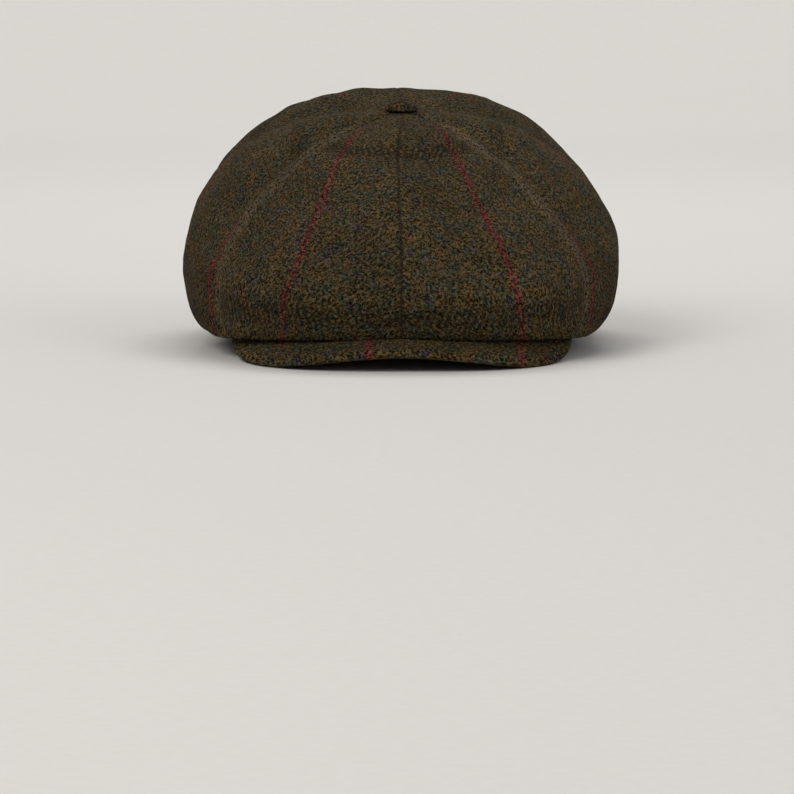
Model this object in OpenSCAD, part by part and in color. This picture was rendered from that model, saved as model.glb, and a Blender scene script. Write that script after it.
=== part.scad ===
// Eight-panel newsboy cap. Millimetres, +Z up, the peak faces -Y, +X is the wearer's left.
// The origin is under the middle of the head opening, on the surface the cap stands on.

/* [Head opening] */
// Length of the head opening, front to back
head_l = 205; // [195:1:212]
// Width of the head opening, side to side
head_w = 163; // [155:1:168]
// Tilt of the rim when the cap stands on its peak and the back of its rim
rim_tilt = 5.2; // [4.8:0.1:5.6]

/* [Crown] */
// Full width of the crown
crown_w = 204; // [198:1:210]
// Reach of the crown in front of the origin
crown_front = 140.5; // [138:0.5:142]
// Reach of the crown behind the origin
crown_back = 130; // [126:1:134]
// Height that the crown's front slopes down from
top_front = 114; // [111:1:116]
// Height of the crown's top along the side seams
top_side = 110.5; // [109:0.5:113]
// Height of the crown's top at the back
top_back = 121.8; // [120:0.2:124]
// Depth of the hollow that the button pulls into the top
button_dip = 13.2; // [12:0.2:15]
// Thickness of the tweed
tweed_t = 1.6; // [1.2:0.1:1.8]
// Thickness of the lining
lining_t = 0.6; // [0.4:0.1:0.8]

/* [Peak] */
// Reach of the peak's front edge in front of the origin
peak_reach = 149; // [147:0.5:152]
// Width of the peak
peak_w = 157; // [152:1:160]
// Thickness of the covered peak
peak_t = 4.4; // [4:0.1:4.8]
// Thickness of the board inside the peak
board_t = 2; // [1.6:0.1:2.2]
// Height of the middle of the peak's front edge
peak_lift = 7.8; // [7:0.1:9]

/* [Sweatband and button] */
// Height of the sweatband
band_h = 28; // [22:1:32]
// Thickness of the sweatband
band_t = 1; // [0.8:0.1:1.2]
// Diameter of the covered button
button_d = 15; // [13:0.5:17]

/* [Hidden] */

// Angles round the crown where the seams run, from the front centre to the back centre
seam_front = 0;
seam_corner = 55;
seam_side = 90;
seam_rear = 132;
seam_back = 180;

// Plan of the crown and the rim
crown_power = 2.15;
rim_build = 3.6;
rim_a = head_w / 2 + rim_build;
rim_b = head_l / 2 + rim_build;
band_back = head_l / 2 + band_t;
pole = [0, -5];
widest_side = 41;
widest_front = 30;
widest_back = 36;
// Roundness of the crown's upper and lower outline: 1 is a straight slope and 2 an ellipse
upper_front = 1.35;
upper_side = 2.05;
upper_back = 2.7;
lower_power = 1.7;
// How far the cloth hangs below its own edge, and where it turns under
droop_front = 7;
droop_side = 5.5;
droop_back = 0.5;
turn_side = 0.12;
turn_front = 0.9;
turn_from = 50;
turn_to = 95;
crown_edge_lift = 1;
peak_gap = 0.5;
// Puff of each panel between its seams, low on the crown and higher up
puff = 2.4;
puff_high_front = -0.8;
puff_high_side = 0.8;
puff_high_rear = 2.4;
puff_high_back = 0.6;
// Shares of the panel's length for the top, the lower wall and the turned-under edge
top_share = 0.66;
wall_share = 0.87;
hole_r = 1.7;

// Peak outline
peak_centre = 56;
peak_power = 2.5;
peak_end = 60;
peak_curve_front = 0.0037;
peak_slit = 0.5;
edge_wrap = 1.8;
layer_gap = 0.05;
board_span = 0.92;

panel_rows = 20;
panel_cols = 8;
lining_rows = 13;
lining_cols = 6;
peak_cols = 30;

// ---- helpers ----
function spow(x, e) = sign(x) * pow(abs(x), e);
function mix(a, b, t) = a + (b - a) * t;
function unit(v) = v / norm(v);
function ramp(a, b, x) =
    let (t = min(1, max(0, (x - a) / (b - a))))
    t * t * (3 - 2 * t);
// A value that changes from front to side to back round the crown
function around(u, f, s, b) =
    mix(s, cos(u) > 0 ? f : b, pow(abs(cos(u)), 1.5));

// ---- plan curves ----
function crown_outline(u) = [
    crown_w / 2 * spow(sin(u), 2 / crown_power),
    -(cos(u) > 0 ? crown_front : crown_back) * spow(cos(u), 2 / crown_power)
];
function rim_outline(u, grow = 0) = [(rim_a + grow) * sin(u), -(rim_b + grow) * cos(u)];
function rim_plane(y) = (band_back - y) * tan(rim_tilt);
function over_peak(u) = 1 - ramp(peak_end - 8, peak_end + 8, abs(u));

// ---- peak surface ----
peak_slope = (rim_plane(-rim_b) + peak_t / 2 - peak_lift) / (peak_reach - rim_b);
end_point = rim_outline(peak_end);
end_drop = peak_lift + peak_slope * (peak_reach + end_point.y)
    - rim_plane(end_point.y) - peak_t / 2;
peak_curve_rim = end_drop / pow(end_point.x, 2);
function peak_curve(y) =
    mix(peak_curve_front, peak_curve_rim, pow((y + peak_reach) / (peak_reach + end_point.y), 2));
function peak_mid(p) =
    peak_lift + peak_slope * (p.y + peak_reach) - peak_curve(p.y) * p.x * p.x;
function peak_outer(t) =
    let (s = sin(90 * t))
    [
        peak_w / 2 * s,
        -peak_centre - (peak_reach - peak_centre) * pow(1 - pow(abs(s), peak_power), 1 / peak_power)
    ];
function peak_inner(t) = rim_outline(peak_end * t, peak_slit);
// A point of the peak: t runs from end to end, w from rim to front edge, h is height over the middle
function peak_point(t, w, h) =
    let (p = mix(peak_inner(t), peak_outer(t), w))
    [p.x, p.y, peak_mid(p) + h];
// Share w of a point that lies a distance back from the front edge
function edge_w(t, back) =
    let (len = norm(peak_outer(t) - peak_inner(t)))
    1 - min(back / len, back / 6);
// 1 where a point lies over the peak, fading to 0 a little way outside its outline
function above_peak(p) =
    let (ahead = max(0, -p.y - peak_centre) / (peak_reach - peak_centre))
    let (wide = abs(p.x) / (peak_w / 2))
    (1 - ramp(1.08, 1.3, pow(ahead, peak_power) + pow(wide, peak_power)))
    * ramp(end_point.y + 14, end_point.y + 8, p.y);
// Lifts a height to clear the peak's cloth
function clear_of_peak(p, z) =
    z + above_peak(p) * max(0, peak_mid(p) + peak_t / 2 + peak_gap - z);

// ---- crown surface ----
function top_z(u) =
    mix(around(u, top_front, top_side, top_side), top_back, ramp(90, 160, abs(u)));
function upper_power(u) =
    let (ahead = mix(upper_side, upper_front, ramp(88, 52, abs(u))))
    mix(ahead, upper_back, ramp(90, 132, abs(u)));
function widest(u) = around(u, widest_front, widest_side, widest_back);
function turn_share(u) = mix(turn_front, turn_side, ramp(turn_from, turn_to, abs(u)));
function turn_plan(u) = mix(rim_outline(u), crown_outline(u), turn_share(u));
function edge_z(u) =
    rim_plane(rim_outline(u).y) + crown_edge_lift
    + over_peak(u) * (peak_t + peak_gap - crown_edge_lift);
function turn_z(u) =
    let (p = turn_plan(u))
    let (hang = mix(around(u, droop_side, droop_side, droop_back), droop_front, over_peak(u)))
    let (low = rim_plane(rim_outline(u).y) + crown_edge_lift - hang)
    clear_of_peak(p, low);
function under_point(u, w) =
    let (p = mix(turn_plan(u), rim_outline(u), w))
    let (z = mix(turn_z(u), edge_z(u), w))
    [p.x, p.y, clear_of_peak(p, z)];
// Direction into the cloth's thickness on the turned-under edge
function under_normal(u) =
    let (d = under_point(u, 1) - under_point(u, 0))
    let (flat = norm([d.x, d.y]))
    let (out = unit(crown_outline(u) - rim_outline(u)))
    unit([out.x * d.z, out.y * d.z, flat]);
function turn_normal(u) = unit(under_normal(u) + [0, 0, 1]) * 1.15;

// Puff and sag of the panel between its two seams
function seam_below(u) =
    let (a = abs(u))
    a < seam_corner ? seam_front : a < seam_side ? seam_corner : a < seam_rear ? seam_side : seam_rear;
function seam_above(u) =
    let (a = abs(u))
    a < seam_corner ? seam_corner : a < seam_side ? seam_side : a < seam_rear ? seam_rear : seam_back;
function across(u) = (abs(u) - seam_below(u)) / (seam_above(u) - seam_below(u));
function puff_high(u) =
    abs(u) < seam_corner ? puff_high_front : abs(u) < seam_side ? puff_high_side
    : abs(u) < seam_rear ? puff_high_rear : puff_high_back;
function relief(u, v) =
    let (belly = sin(180 * across(u)), low = puff * ramp(0.45, 0.66, v) * (1 - ramp(0.74, 0.87, v)))
    let (high = ramp(0.08, 0.28, v) * (1 - ramp(0.36, 0.52, v)))
    belly * (low + high * puff_high(u));

// Upper crown: f is the share of the way from the button to the widest line
function dome(u, a, depth, reach_less, widest_z, n) =
    let (f = pow(sin(a), 2 / n), g = pow(cos(a), 2 / n))
    let (rim_p = crown_outline(u), out = unit(rim_p - pole))
    let (wide = rim_p - out * (depth + reach_less))
    let (p = pole + (wide - pole) * f)
    let (top = top_z(u) - depth)
    let (dip = button_dip_at(u) * exp(-pow(f / 0.3, 2)))
    [p.x, p.y, widest_z + (top - widest_z) * g - dip];
// The hollow is deepest towards the back, so that all panels meet at one height
function button_dip_at(u) = button_dip + top_z(u) - top_back;
function start_angle(u, r) =
    asin(pow(r / norm(crown_outline(u) - pole), upper_power(u) / 2));

// Point of the tweed crown: u round the crown, v from button to edge, depth into the cloth
function crown_point(u, v, depth) =
    let (out = unit(crown_outline(u) - pole), n = upper_power(u), puffed = relief(u, v))
    v < top_share
    ? let (a = mix(start_angle(u, hole_r), 90, pow(v / top_share, n / 2)))
      let (lean = unit([sin(a), cos(a)]))
      dome(u, a, depth, 0, widest(u), n)
      + puffed * [out.x * lean.x, out.y * lean.x, lean.y]
    : v < wall_share
    ? let (b = 90 * (v - top_share) / (wall_share - top_share))
      let (low = [turn_plan(u).x, turn_plan(u).y, turn_z(u)] + depth * turn_normal(u))
      let (wide = crown_outline(u) - out * depth)
      let (c = pow(cos(b), 2 / lower_power), s = pow(sin(b), 2 / lower_power))
      [
          mix(low.x, wide.x, c) + puffed * out.x,
          mix(low.y, wide.y, c) + puffed * out.y,
          mix(widest(u), low.z, s)
      ]
    : let (w = (v - wall_share) / (1 - wall_share))
      under_point(u, w) + depth * mix(turn_normal(u), under_normal(u), min(1, 3 * w));

// Point of the lining, which hangs inside the tweed and ends behind the sweatband
lining_in = 4.2;
lining_front_in = 7;
lining_front_up = 6;
lining_end_grow = -1.1;
lining_end_lift = 10.5;
lining_hole_r = 0.6;
function lining_point(u, v, depth) =
    let (n = upper_power(u), wide_z = widest(u) + around(u, lining_front_up, 0, 0))
    let (less = around(u, lining_front_in, 0, 0), out = unit(crown_outline(u) - pole))
    let (inset = lining_in + depth, puffed = relief(u, v * wall_share) * 0.9)
    let (turn = top_share / wall_share)
    v < turn
    ? let (a = mix(start_angle(u, lining_hole_r), 90, pow(v / turn, n / 2)))
      let (lean = unit([sin(a), cos(a)]))
      dome(u, a, inset, less, wide_z, n)
      + puffed * [out.x * lean.x, out.y * lean.x, lean.y]
    : let (b = 90 * (v - turn) / (1 - turn))
      let (end = rim_outline(u, lining_end_grow), end_z = rim_plane(end.y) + lining_end_lift)
      let (wide = crown_outline(u) - out * (inset + less))
      let (c = pow(cos(b), 2 / lower_power), s = pow(sin(b), 2 / lower_power))
      [
          mix(end.x, wide.x, c) + puffed * out.x * c,
          mix(end.y, wide.y, c) + puffed * out.y * c,
          mix(wide_z, end_z + depth, s)
      ];

// Closed sheet between two grids of points with the same rows and columns
module sheet(upper, lower) {
    rows = len(upper);
    cols = len(upper[0]);
    count = rows * cols;
    points = concat([for (r = upper) each r], [for (r = lower) each r]);
    quads = concat(
        [for (i = [0:rows - 2], j = [0:cols - 2])
            [i * cols + j, (i + 1) * cols + j, (i + 1) * cols + j + 1, i * cols + j + 1]],
        [for (i = [0:rows - 2], j = [0:cols - 2])
            [count + i * cols + j, count + i * cols + j + 1,
             count + (i + 1) * cols + j + 1, count + (i + 1) * cols + j]],
        [for (i = [0:rows - 2])
            [i * cols, count + i * cols, count + (i + 1) * cols, (i + 1) * cols]],
        [for (i = [0:rows - 2])
            [i * cols + cols - 1, (i + 1) * cols + cols - 1,
             count + (i + 1) * cols + cols - 1, count + i * cols + cols - 1]],
        [for (j = [0:cols - 2])
            [j, j + 1, count + j + 1, count + j]],
        [for (j = [0:cols - 2])
            [(rows - 1) * cols + j, count + (rows - 1) * cols + j,
             count + (rows - 1) * cols + j + 1, (rows - 1) * cols + j + 1]]
    );
    polyhedron(points, [for (q = quads) each [[q[0], q[1], q[2]], [q[0], q[2], q[3]]]]);
}

// ---- crown ----
module tweed_panel(from, to) {
    grid = [for (depth = [0, tweed_t])
        [for (i = [0:panel_rows])
            [for (j = [0:panel_cols])
                crown_point(mix(from, to, j / panel_cols), i / panel_rows, depth)]]];
    color("#3d3426") sheet(grid[0], grid[1]);
}

module lining_panel(from, to) {
    grid = [for (depth = [0, lining_t])
        [for (i = [0:lining_rows])
            [for (j = [0:lining_cols])
                lining_point(mix(from, to, j / lining_cols), i / lining_rows, depth)]]];
    color("#2a2622") sheet(grid[0], grid[1]);
}

// Light canvas that stiffens a front panel, between the tweed and the lining
interlining_depths = [2, 2.5];
interlining_top = 0.26;
interlining_low = 0.64;
module interlining(from, to) {
    rows = 9;
    cols = 6;
    grid = [for (depth = interlining_depths)
        [for (i = [0:rows])
            [for (j = [0:cols])
                crown_point(mix(from, to, j / cols), mix(interlining_top, interlining_low, i / rows),
                    depth)]]];
    color("#cfc6b2") sheet(grid[0], grid[1]);
}

// ---- button, on the crown's pole ----
pole_z = top_back - button_dip;
button_z = pole_z + 1.2;
back_t = 0.7;
flange_r = 2.6;
flange_t = 0.5;
button_h = 3.6;
cover_t = 0.6;
shell_t = 0.4;
shank_r = 1.1;
patch_r = 5.5;
patch_t = 0.4;
patch_z = pole_z - tweed_t - 1.45;
round_fn = 64;

module at_pole(z) {
    translate([pole.x, pole.y, z]) children();
}

// Outline of a low dome with a rounded edge, half of it, for turning
module dome_outline(r, h, foot) {
    crown_r = (r * r + h * h) / (2 * h);
    intersection() {
        translate([0, h + foot - crown_r]) circle(crown_r, $fn = round_fn * 2);
        square([r, h + foot]);
    }
}

module dome_shell(r, h, foot, t) {
    rotate_extrude($fn = round_fn) difference() {
        dome_outline(r, h, foot);
        translate([0, -1]) square([r - t, foot + 1]);
        dome_outline(r - t, h - t, foot);
    }
}

module button_cover() {
    color("#3d3426") at_pole(button_z)
        dome_shell(button_d / 2, button_h - 1, 1, cover_t);
}

module button_shell() {
    color("#9a9a96") at_pole(button_z + 0.1)
        dome_shell(button_d / 2 - cover_t - 0.1, button_h - 1.75, 0.9, shell_t);
}

module button_back() {
    color("#9a9a96") at_pole(button_z + 0.1) difference() {
        cylinder(h = back_t, r = button_d / 2 - cover_t - shell_t - 0.2, $fn = round_fn);
        translate([0, 0, -1]) cylinder(h = 3, r = shank_r + 0.05, $fn = round_fn);
    }
}

module button_shank() {
    head_z = button_z + back_t + 0.15;
    foot_z = patch_z - flange_t - 0.1;
    color("#8a8a86") {
        at_pole(foot_z) cylinder(h = head_z + flange_t - foot_z, r = shank_r, $fn = round_fn);
        at_pole(head_z) cylinder(h = flange_t, r = flange_r, $fn = round_fn);
        at_pole(foot_z) cylinder(h = flange_t, r = flange_r, $fn = round_fn);
    }
}

// Round patch that the button's shank is fastened through, under the panels' points
module crown_patch() {
    color("#cfc6b2") at_pole(patch_z) difference() {
        cylinder(h = patch_t, r = patch_r, $fn = round_fn);
        translate([0, 0, -1]) cylinder(h = 3, r = shank_r + 0.1, $fn = round_fn);
    }
}

// ---- rim ----
ring_steps = 90;
stitch_count = 112;
stitch = [2.6, 0.35, 0.4];
stitch_lift = 2.6;
stitch_in = 0.23;
tab = [14, 0.5, 11];
tab_lift = 12;

module on_rim_plane() {
    translate([0, band_back, 0]) rotate([-rim_tilt, 0, 0]) translate([0, -band_back, 0])
        children();
}

module head_ring(grow, t, h) {
    function ring(g) = [for (i = [0:ring_steps - 1])
        [(head_w / 2 + g) * sin(360 * i / ring_steps), (head_l / 2 + g) * cos(360 * i / ring_steps)]];
    linear_extrude(h) difference() {
        polygon(ring(grow + t));
        polygon(ring(grow));
    }
}

module sweatband() {
    color("#5a3a24") on_rim_plane() head_ring(0, band_t, band_h);
}

module rim_tape() {
    color("#e3dccb") on_rim_plane() translate([0, 0, 0.6]) head_ring(band_t + 0.3, 0.8, 7);
}

module sweatband_stitches() {
    color("#b89a6a") on_rim_plane() for (i = [0:stitch_count - 1]) {
        a = 360 * i / stitch_count;
        p = [(head_w / 2 - stitch_in) * sin(a), (head_l / 2 - stitch_in) * cos(a)];
        turn = atan2(-head_l * sin(a), head_w * cos(a));
        translate([p.x, p.y, stitch_lift]) rotate([0, 0, turn]) cube(stitch, center = true);
    }
}

// Blank size tab on the inside of the sweatband, at the back
module size_tab() {
    color("#e8e4da") on_rim_plane()
        translate([-tab.x / 2, head_l / 2 - tab.y - 0.6, tab_lift]) cube(tab);
}

// ---- peak ----
cover_shares = [0, 0.17, 0.34, 0.51, 0.68];
// One half of the peak's cloth: side is 1 above the board and -1 below it
module peak_cloth(side) {
    half = peak_t / 2;
    inner = board_t / 2 + layer_gap;
    function edge(t, path) = [for (e = path) peak_point(t, edge_w(t, e.x), side * e.y)];
    outside = [for (i = [0:peak_cols])
        let (t = 2 * i / peak_cols - 1)
        concat([for (w = cover_shares) peak_point(t, w, side * half)],
            edge(t, [[1.1, half], [0.35, half * 0.7], [0, layer_gap / 2]]))];
    inside = [for (i = [0:peak_cols])
        let (t = 2 * i / peak_cols - 1)
        concat([for (w = cover_shares) peak_point(t, w, side * inner)],
            edge(t, [[edge_wrap, inner], [edge_wrap - 0.1, inner / 2],
                [edge_wrap - 0.15, layer_gap / 2]]))];
    if (side > 0) sheet(inside, outside);
    else sheet(outside, inside);
}

module peak_top_cover() {
    color("#3a3124") peak_cloth(1);
}

module peak_under_cover() {
    color("#33291e") peak_cloth(-1);
}

module peak_board() {
    function layer(h) = [for (i = [0:peak_cols])
        let (t = (2 * i / peak_cols - 1) * board_span)
        let (last = edge_w(t, edge_wrap + 0.3))
        [for (k = [0:4]) peak_point(t, mix(0.12, last, k / 4), h)]];
    color("#c9b083") sheet(layer(-board_t / 2), layer(board_t / 2));
}

// Short thread posts that hold the front of the crown down on the peak
tack_r = 0.4;
tack_angles = [-44, -30, -16, 16, 30, 44];
tack_share = 0.45;
module peak_tacks() {
    color("#2e2820") for (u = tack_angles) {
        p = under_point(u, tack_share);
        slack = tack_r * peak_slope + layer_gap;
        low = peak_mid(p) + peak_t / 2 + slack;
        translate([p.x, p.y, low]) cylinder(h = max(0.1, p.z - low - slack), r = tack_r, $fn = 16);
    }
}

tweed_panel(seam_front, seam_corner);  // panel_front_left
tweed_panel(-seam_corner, seam_front);  // panel_front_right
tweed_panel(seam_corner, seam_side);  // panel_side_front_left
tweed_panel(-seam_side, -seam_corner);  // panel_side_front_right
tweed_panel(seam_side, seam_rear);  // panel_side_back_left
tweed_panel(-seam_rear, -seam_side);  // panel_side_back_right
tweed_panel(seam_rear, seam_back);  // panel_back_left
tweed_panel(-seam_back, -seam_rear);  // panel_back_right
lining_panel(seam_front, seam_corner);  // lining_front_left
lining_panel(-seam_corner, seam_front);  // lining_front_right
lining_panel(seam_corner, seam_side);  // lining_side_front_left
lining_panel(-seam_side, -seam_corner);  // lining_side_front_right
lining_panel(seam_side, seam_rear);  // lining_side_back_left
lining_panel(-seam_rear, -seam_side);  // lining_side_back_right
lining_panel(seam_rear, seam_back);  // lining_back_left
lining_panel(-seam_back, -seam_rear);  // lining_back_right
interlining(seam_front + 2, seam_corner - 2);  // interlining_left
interlining(2 - seam_corner, seam_front - 2);  // interlining_right
crown_patch();
rim_tape();
sweatband();
sweatband_stitches();
size_tab();
peak_board();
peak_top_cover();
peak_under_cover();
peak_tacks();
button_cover();
button_shell();
button_back();
button_shank();
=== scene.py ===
"""The looks of a tweed newsboy cap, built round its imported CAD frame. Lengths are in millimetres until a
mesh is made. Angles u run round the crown in degrees: 0 is the front, 90 the wearer's left."""
import math

import bpy
import numpy as np
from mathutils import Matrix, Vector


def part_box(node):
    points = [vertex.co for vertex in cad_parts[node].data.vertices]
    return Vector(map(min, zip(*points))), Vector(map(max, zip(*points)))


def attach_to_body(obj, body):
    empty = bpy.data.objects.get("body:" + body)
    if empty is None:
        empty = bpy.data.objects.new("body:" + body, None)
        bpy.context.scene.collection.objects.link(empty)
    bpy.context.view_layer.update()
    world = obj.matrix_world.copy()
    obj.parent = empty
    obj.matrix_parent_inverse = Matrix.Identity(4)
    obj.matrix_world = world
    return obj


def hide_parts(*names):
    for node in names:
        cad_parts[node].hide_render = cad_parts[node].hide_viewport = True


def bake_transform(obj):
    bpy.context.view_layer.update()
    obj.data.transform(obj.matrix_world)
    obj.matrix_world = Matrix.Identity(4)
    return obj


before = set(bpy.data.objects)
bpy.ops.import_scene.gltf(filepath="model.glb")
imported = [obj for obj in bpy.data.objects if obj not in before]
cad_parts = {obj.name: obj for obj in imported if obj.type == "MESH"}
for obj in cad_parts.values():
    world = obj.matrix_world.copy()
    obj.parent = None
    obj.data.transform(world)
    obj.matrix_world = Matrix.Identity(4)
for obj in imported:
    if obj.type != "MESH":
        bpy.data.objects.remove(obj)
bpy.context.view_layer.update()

MM = 0.001

# ---- driving dimensions, read from the frame ----


def box_mm(node):
    """Lowest and highest corner of a CAD node, in millimetres."""
    low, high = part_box(node)
    return np.array(low) / MM, np.array(high) / MM


BAND_HIGH = box_mm("sweatband")[1]
PEAK_LOW, PEAK_HIGH = box_mm("peak_top_cover")
BUTTON_LOW, BUTTON_HIGH = box_mm("button_cover")

BAND_T = 1.0
BAND_H = 28.0
RIM_TILT = math.radians(5.2)
HEAD_LENGTH = 205
HEAD_WIDTH = 163
HEAD_A = BAND_HIGH[0] - BAND_T
HEAD_B = HEAD_A * HEAD_LENGTH / HEAD_WIDTH
BAND_BACK = HEAD_B + BAND_T
# The tweed's rim stands this far outside the head opening and above its plane
RIM_OUT = 3.6
RIM_UP = 1.0
RIM_A = HEAD_A + RIM_OUT
RIM_B = HEAD_B + RIM_OUT

CROWN_W = 204.0
CROWN_FRONT = 140.5
CROWN_BACK = 130.0
TOP = (114.0, 110.5, 121.8)
WIDEST = (30.0, 41.0, 36.0)
UPPER_POWER = (1.35, 2.05, 2.7)
LOWER_POWER = 1.7
CROWN_POWER = 2.15
# How quickly a value changes from the sides of the crown to its front and back
ROUND_POWER = 1.5
# The hollow round the button: its depth, and its width as a share of the crown's
BUTTON_DIP = 13.2
DIP_SPREAD = 0.3
TWEED_T = 1.6
POLE = np.array([0.0, -5.0])

PEAK_REACH = -PEAK_LOW[1]
PEAK_W = PEAK_HIGH[0] * 2
PEAK_T = 4.4
PEAK_LIFT = 7.8
PEAK_CENTRE = 56.0
PEAK_POWER = 2.5
# The crown lies on the peak up to this angle, give or take some degrees
PEAK_END = 60.0
PEAK_LEAVE = 8.0
PEAK_CURVE_FRONT = 0.0037
PEAK_SLIT = 0.5

# The crown's cloth lies on the peak; the CAD leaves a little more room
PEAK_GAP = 0.2

SIDES = ((1, "left"), (-1, "right"))
SEAMS = (0.0, 55.0, 90.0, 132.0, 180.0)
PANELS = ("front", "side_front", "side_back", "back")
# Shares of the way from button to rim: where the crown is widest, and where it folds under
TOP_SHARE = 0.66
WALL_SHARE = 0.87
# How far out the fold lies between rim and widest line, at the front and elsewhere
TURN_FRONT = 0.9
TURN_SIDE = 0.12
TURN_FROM = 50.0
TURN_TO = 95.0
# How far the fold hangs below the rim: front, side and back, and over the peak
HANG = (5.5, 5.5, 0.5)
HANG_ON_PEAK = 7.0
# Stretch of a depth across the fold, which keeps the cloth's thickness
FOLD_STRETCH = 1.15


# ---- shape of the cap, as the CAD has it ----


def ramp(a, b, x):
    """0 before a, 1 after b, and smooth between them."""
    t = np.clip((x - a) / (b - a), 0, 1)
    return t * t * (3 - 2 * t)


def between(span, x):
    """0, then 1 between the middle two of four values, then 0 again."""
    return ramp(span[0], span[1], x) * (1 - ramp(span[2], span[3], x))


def mix(a, b, t):
    return a + (b - a) * t


def spow(x, e):
    """A power that keeps the sign."""
    return np.sign(x) * np.abs(x) ** e


def sin_d(a):
    return np.sin(np.radians(a))


def cos_d(a):
    return np.cos(np.radians(a))


def grid(rows, cols, down=(0, 1), across=(0, 1)):
    """A grid of values that run down and one of values that run across."""
    return np.meshgrid(np.linspace(*down, rows), np.linspace(*across, cols), indexing="ij")


def around(u, front, side, back):
    """A value that changes from front to side to back round the crown."""
    end = np.where(cos_d(u) > 0, front, back)
    return mix(side, end, np.abs(cos_d(u)) ** ROUND_POWER)


def crown_outline(u):
    """The crown's widest line, seen from above."""
    reach = np.where(cos_d(u) > 0, CROWN_FRONT, CROWN_BACK)
    return np.stack([CROWN_W / 2 * spow(sin_d(u), 2 / CROWN_POWER),
                     -reach * spow(cos_d(u), 2 / CROWN_POWER)], -1)


def rim_outline(u, grow=0.0):
    """The rim, seen from above."""
    return np.stack([(RIM_A + grow) * sin_d(u), -(RIM_B + grow) * cos_d(u)], -1)


def rim_plane(y):
    """Height of the tilted plane of the cap's lower rim."""
    return (BAND_BACK - y) * math.tan(RIM_TILT)


def over_peak(u):
    """1 where the crown lies on the peak, 0 elsewhere."""
    return 1 - ramp(PEAK_END - PEAK_LEAVE, PEAK_END + PEAK_LEAVE, np.abs(u))


PEAK_SLOPE = (rim_plane(-RIM_B) + PEAK_T / 2 - PEAK_LIFT) / (PEAK_REACH - RIM_B)
END_X, END_Y = rim_outline(np.array(PEAK_END))
PEAK_CURVE_RIM = (PEAK_LIFT + PEAK_SLOPE * (PEAK_REACH + END_Y)
                  - rim_plane(END_Y) - PEAK_T / 2) / END_X ** 2


def peak_mid(x, y):
    """Height of the middle of the peak's thickness."""
    share = ((y + PEAK_REACH) / (PEAK_REACH + END_Y)) ** 2
    curve = mix(PEAK_CURVE_FRONT, PEAK_CURVE_RIM, share)
    return PEAK_LIFT + PEAK_SLOPE * (y + PEAK_REACH) - curve * x * x


def clear_of_peak(x, y, z):
    """Lifts a height to lie on the peak's cloth, where the peak is underneath."""
    ahead = np.maximum(0, -y - PEAK_CENTRE) / (PEAK_REACH - PEAK_CENTRE)
    wide = np.abs(x) / (PEAK_W / 2)
    over = (1 - ramp(1.08, 1.3, ahead ** PEAK_POWER + wide ** PEAK_POWER)) \
        * ramp(END_Y + 14, END_Y + 8, y)
    return z + over * np.maximum(0, peak_mid(x, y) + PEAK_T / 2 + PEAK_GAP - z)


def top_z(u):
    """Height of the upper crown, which is lowest along the side seams."""
    return mix(around(u, TOP[0], TOP[1], TOP[1]), TOP[2], ramp(90, 160, np.abs(u)))


def upper_power(u):
    """How full the upper crown is: a straight slope at the front, a full dome at the back."""
    ahead = mix(UPPER_POWER[1], UPPER_POWER[0], ramp(88, 52, np.abs(u)))
    return mix(ahead, UPPER_POWER[2], ramp(90, 132, np.abs(u)))


def unit(v):
    return v / np.linalg.norm(v, axis=-1, keepdims=True)


def turn_plan(u):
    """Where the crown folds under, seen from above."""
    share = mix(TURN_FRONT, TURN_SIDE, ramp(TURN_FROM, TURN_TO, np.abs(u)))[..., None]
    return mix(rim_outline(u), crown_outline(u), share)


def under_point(u, w):
    """The cloth turned under at the crown's lower edge: w runs from the fold to the rim."""
    rim = rim_outline(u)
    turn = turn_plan(u)
    plan = mix(turn, rim, w[..., None])
    hang = mix(around(u, *HANG), HANG_ON_PEAK, over_peak(u))
    plane = rim_plane(rim[..., 1]) + RIM_UP
    low = clear_of_peak(turn[..., 0], turn[..., 1], plane - hang)
    edge = plane + over_peak(u) * (PEAK_T + PEAK_GAP - RIM_UP)
    z = clear_of_peak(plan[..., 0], plan[..., 1], mix(low, edge, w))
    return np.concatenate([plan, z[..., None]], -1)


def under_normal(u):
    """The way up from the cloth that is turned under."""
    d = under_point(u, np.ones_like(u)) - under_point(u, np.zeros_like(u))
    flat = np.linalg.norm(d[..., :2], axis=-1)
    out = unit(crown_outline(u) - rim_outline(u))
    return unit(np.stack([out[..., 0] * d[..., 2], out[..., 1] * d[..., 2], flat], -1))


def widest_plan(u, depth):
    """The same line for cloth at a depth inside it."""
    wide = crown_outline(u)
    return wide - unit(wide - POLE) * depth[..., None]


def wall_round(s):
    """Shares of the way out and down on the lower wall, which runs from the widest line to its end."""
    power = 2 / LOWER_POWER
    return (cos_d(90 * s).clip(0, 1) ** power)[..., None], sin_d(90 * s).clip(0, 1) ** power


def dome_point(u, s, depth, less=0.0, widest_more=0.0, hole=1.7):
    """The upper crown: s runs from the button's hole to the widest line. less is how much further in
    the widest line lies, and widest_more how much higher."""
    power = upper_power(u)
    reach = np.linalg.norm(crown_outline(u) - POLE, axis=-1)
    start = np.degrees(np.arcsin((hole / reach) ** (power / 2)))
    angle = mix(start, 90.0, s ** (power / 2))
    f = sin_d(angle) ** (2 / power)
    g = np.clip(cos_d(angle), 0, 1) ** (2 / power)
    plan = POLE + (widest_plan(u, depth + less) - POLE) * f[..., None]
    top = top_z(u) - depth
    low = around(u, *WIDEST) + widest_more
    dip = (BUTTON_DIP + top_z(u) - TOP[2]) * np.exp(-(f / DIP_SPREAD) ** 2)
    return np.concatenate([plan, (low + (top - low) * g - dip)[..., None]], -1)


def bisector(u):
    """The way in from the fold, halfway between up and the turned cloth's normal."""
    return unit(under_normal(u) + np.array([0, 0, 1.0]))


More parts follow.
